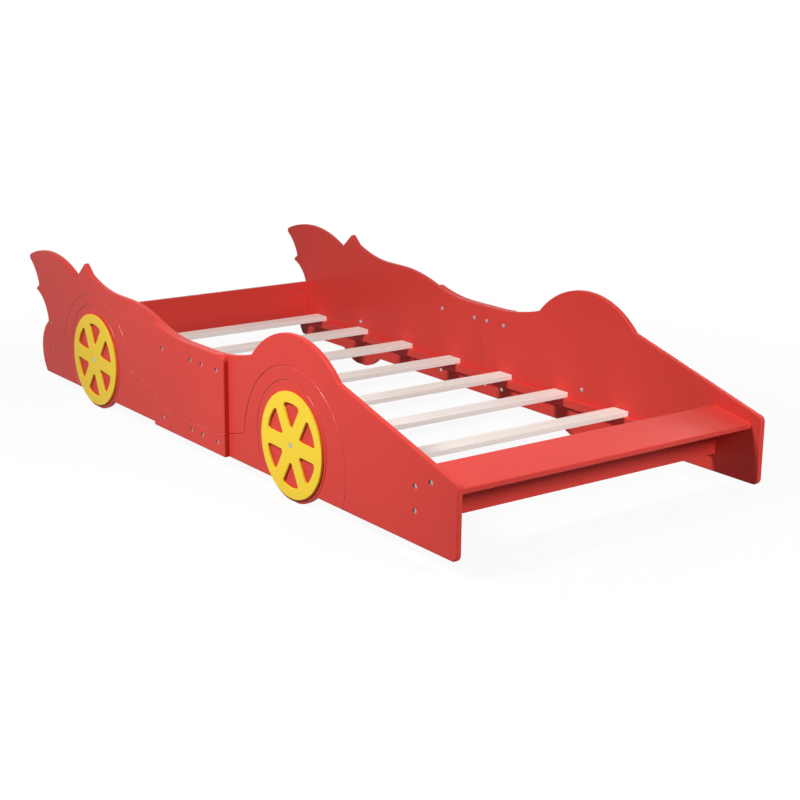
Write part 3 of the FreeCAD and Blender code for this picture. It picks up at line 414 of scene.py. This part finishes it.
# ---------------------------------------------------------------------------- pieces
class CARBED_OT_side_panels(bpy.types.Operator):
    """Paint the four side panels and the two door boards"""

    bl_idname = "car_bed.side_panels"
    bl_label = "Side panels and doors"

    def execute(self, context):
        kinds = ("rear_side_panel_", "front_side_panel_", "door_panel_")
        dress([kind + side for kind in kinds for side in SIDES], red_paint(context.scene))
        return {"FINISHED"}


class CARBED_OT_cross_boards(bpy.types.Operator):
    """Paint the headboard, footboard and hood board"""

    bl_idname = "car_bed.cross_boards"
    bl_label = "Cross boards"

    def execute(self, context):
        dress(["headboard", "footboard", "hood_board"], red_paint(context.scene))
        return {"FINISHED"}


class CARBED_OT_ledger_rails(bpy.types.Operator):
    """Paint the four rails that carry the slats"""

    bl_idname = "car_bed.ledger_rails"
    bl_label = "Ledger rails"

    def execute(self, context):
        dress(["ledger_rail_" + end + "_" + side for end in ENDS for side in SIDES],
              red_paint(context.scene))
        return {"FINISHED"}


class CARBED_OT_slats(bpy.types.Operator):
    """Give the slats and the hidden dowels their bare wood"""

    bl_idname = "car_bed.slats"
    bl_label = "Slats and dowels"

    def execute(self, context):
        wood = material_once("pale_wood", planed_wood, context.scene.bed_wood)
        dress(SLAT_NAMES + ["slat_dowels", "rail_dowels", "hood_dowels"], wood)
        return {"FINISHED"}


class CARBED_OT_wheels(bpy.types.Operator):
    """Paint the four wheel discs"""

    bl_idname = "car_bed.wheels"
    bl_label = "Wheels"

    def execute(self, context):
        settings = context.scene.bed_paint
        yellow = material_once("yellow_lacquer", paint, settings.yellow, settings)
        dress(["wheel_" + end + "_" + side for end in ENDS for side in SIDES], yellow)
        return {"FINISHED"}


class CARBED_OT_fasteners(bpy.types.Operator):
    """Give the bolts, nuts and washers their zinc plate"""

    bl_idname = "car_bed.fasteners"
    bl_label = "Bolts, nuts and washers"

    def execute(self, context):
        groups = ("wheel_bolts", "wheel_washers", "wheel_nuts", "door_bolts", "door_nuts",
                  "headboard_bolts", "headboard_barrel_nuts",
                  "footboard_bolts", "footboard_barrel_nuts", "hood_bolts", "hood_barrel_nuts")
        dress(groups, material_once("zinc_plate", zinc_plate, context.scene.bed_steel))
        return {"FINISHED"}


# ---------------------------------------------------------------------------- stage
def area_lamp(name, place, aim, size, power):
    lamp = bpy.data.lights.new(name, "AREA")
    lamp.shape = "RECTANGLE"
    lamp.size = lamp.size_y = size
    lamp.energy = power
    lamp.spread = LAMP_SPREAD
    holder = bpy.data.objects.new(name, lamp)
    holder.location = place
    holder.rotation_euler = (Vector(aim) - Vector(place)).to_track_quat("-Z", "Y").to_euler()
    bpy.context.scene.collection.objects.link(holder)


def camera_share(tree):
    """1 where the camera, a reflection or a clear piece looks, 0 where light bounces."""
    path = tree.nodes.new("ShaderNodeLightPath")
    seen = path.outputs["Is Camera Ray"]
    for other in ("Is Glossy Ray", "Is Transmission Ray"):
        seen = calculated(tree, "MAXIMUM", seen, path.outputs[other])
    return seen


def studio_floor(shadow):
    """Wide white floor that keeps part of the bed's shadow near the bed."""
    mesh = bpy.data.meshes.new("studio_floor")
    corners = [(x * FLOOR_REACH, y * FLOOR_REACH, 0.0)
               for x, y in ((-1.0, -1.0), (1.0, -1.0), (1.0, 1.0), (-1.0, 1.0))]
    mesh.from_pydata(corners, [], [(0, 1, 2, 3)])
    floor = bpy.data.objects.new("studio_floor", mesh)
    bpy.context.scene.collection.objects.link(floor)
    material = bpy.data.materials.new("white_floor")
    tree = cleared(material)
    seen = camera_share(tree)
    matt = tree.nodes.new("ShaderNodeBsdfDiffuse")
    tree.links.new(ranged(tree, seen, FULL, (FLOOR_BOUNCE, FLOOR_WHITE)), matt.inputs["Color"])
    glow = tree.nodes.new("ShaderNodeEmission")
    distance = tree.nodes.new("ShaderNodeVectorMath")
    distance.operation = "LENGTH"
    tree.links.new(tree.nodes.new("ShaderNodeTexCoord").outputs["Object"], distance.inputs[0])
    faded = ranged(tree, distance.outputs["Value"], SHADOW_FADE, (1.0 - shadow, 1.0))
    mix = tree.nodes.new("ShaderNodeMixShader")
    tree.links.new(calculated(tree, "MULTIPLY", seen, faded), mix.inputs["Fac"])
    tree.links.new(matt.outputs["BSDF"], mix.inputs[1])
    tree.links.new(glow.outputs["Emission"], mix.inputs[2])
    output = tree.nodes.new("ShaderNodeOutputMaterial")
    tree.links.new(mix.outputs["Shader"], output.inputs["Surface"])
    mesh.materials.append(material)


def studio_room(level):
    """World that lights from all round and looks white."""
    world = bpy.data.worlds.new("studio_room")
    tree = cleared(world)
    room = tree.nodes.new("ShaderNodeBackground")
    room.inputs["Color"].default_value = (1.0, 1.0, 1.0, 1.0)
    tree.links.new(ranged(tree, camera_share(tree), FULL, (level, 1.0)), room.inputs["Strength"])
    output = tree.nodes.new("ShaderNodeOutputWorld")
    tree.links.new(room.outputs["Background"], output.inputs["Surface"])
    bpy.context.scene.world = world


def lamp_place(azimuth, elevation, aim):
    """Place at the lamps' distance from what they aim at."""
    flat = LAMP_DISTANCE * math.cos(math.radians(elevation))
    return Vector(aim) + Vector((flat * math.cos(math.radians(azimuth)),
                                 flat * math.sin(math.radians(azimuth)),
                                 LAMP_DISTANCE * math.sin(math.radians(elevation))))


def studio_camera(settings):
    """Camera at the photograph's place, leaning by its small roll."""
    data = bpy.data.cameras.new("camera")
    data.sensor_fit = "HORIZONTAL"
    data.sensor_width = SENSOR_WIDTH
    data.lens = settings.lens
    camera = bpy.data.objects.new("camera", data)
    bpy.context.scene.collection.objects.link(camera)
    flat = math.cos(settings.elevation)
    view = Vector((-math.sin(settings.azimuth) * flat, math.cos(settings.azimuth) * flat,
                   -math.sin(settings.elevation)))
    level_right = view.cross(Vector((0.0, 0.0, 1.0))).normalized()
    level_up = level_right.cross(view)
    right = level_right * math.cos(settings.roll) + level_up * math.sin(settings.roll)
    up = right.cross(view)
    turn = Matrix((right, up, -view)).transposed().to_4x4()
    camera.matrix_world = Matrix.Translation(Vector(settings.camera_place)) @ turn
    bpy.context.scene.camera = camera


class CARBED_OT_stage(bpy.types.Operator):
    """Set up the floor, the room light, the lamps and the camera"""

    bl_idname = "car_bed.stage"
    bl_label = "Stage"

    def execute(self, context):
        scene = context.scene
        settings = scene.bed_stage
        scene.view_settings.view_transform = "Standard"
        studio_floor(settings.floor_shadow)
        studio_room(settings.room_level)
        for name, azimuth, elevation, aim in LAMPS:
            area_lamp(name + "_lamp", lamp_place(azimuth, elevation, aim), aim,
                      getattr(settings, name + "_size"), getattr(settings, name + "_power"))
        studio_camera(settings)
        return {"FINISHED"}


# ---------------------------------------------------------------------------- add-on
PIECES = (CARBED_OT_side_panels, CARBED_OT_cross_boards, CARBED_OT_ledger_rails,
          CARBED_OT_slats, CARBED_OT_wheels, CARBED_OT_fasteners, CARBED_OT_stage)
SETTINGS = (("bed_paint", PaintSettings), ("bed_wood", WoodSettings),
            ("bed_steel", SteelSettings), ("bed_stage", StageSettings))


class CARBED_PT_bed(bpy.types.Panel):
    """Lists the bed's pieces and their settings"""

    bl_idname = "CARBED_PT_bed"
    bl_label = "Car bed"
    bl_space_type = "VIEW_3D"
    bl_region_type = "UI"
    bl_category = "Car bed"

    def draw(self, context):
        for name, group in SETTINGS:
            box = self.layout.box()
            values = getattr(context.scene, name)
            for key in group.__annotations__:
                box.prop(values, key)
        for piece in PIECES:
            self.layout.operator(piece.bl_idname)


def register():
    for name, group in SETTINGS:
        bpy.utils.register_class(group)
        setattr(bpy.types.Scene, name, PointerProperty(type=group))
    for piece in PIECES:
        bpy.utils.register_class(piece)
    bpy.utils.register_class(CARBED_PT_bed)


def unregister():
    bpy.utils.unregister_class(CARBED_PT_bed)
    for piece in reversed(PIECES):
        bpy.utils.unregister_class(piece)
    for name, group in reversed(SETTINGS):
        delattr(bpy.types.Scene, name)
        bpy.utils.unregister_class(group)


def main():
    """Builds every piece in order."""
    register()
    for piece in PIECES:
        group, name = piece.bl_idname.split(".")
        getattr(getattr(bpy.ops, group), name)()


if __name__ == "__main__":
    main()
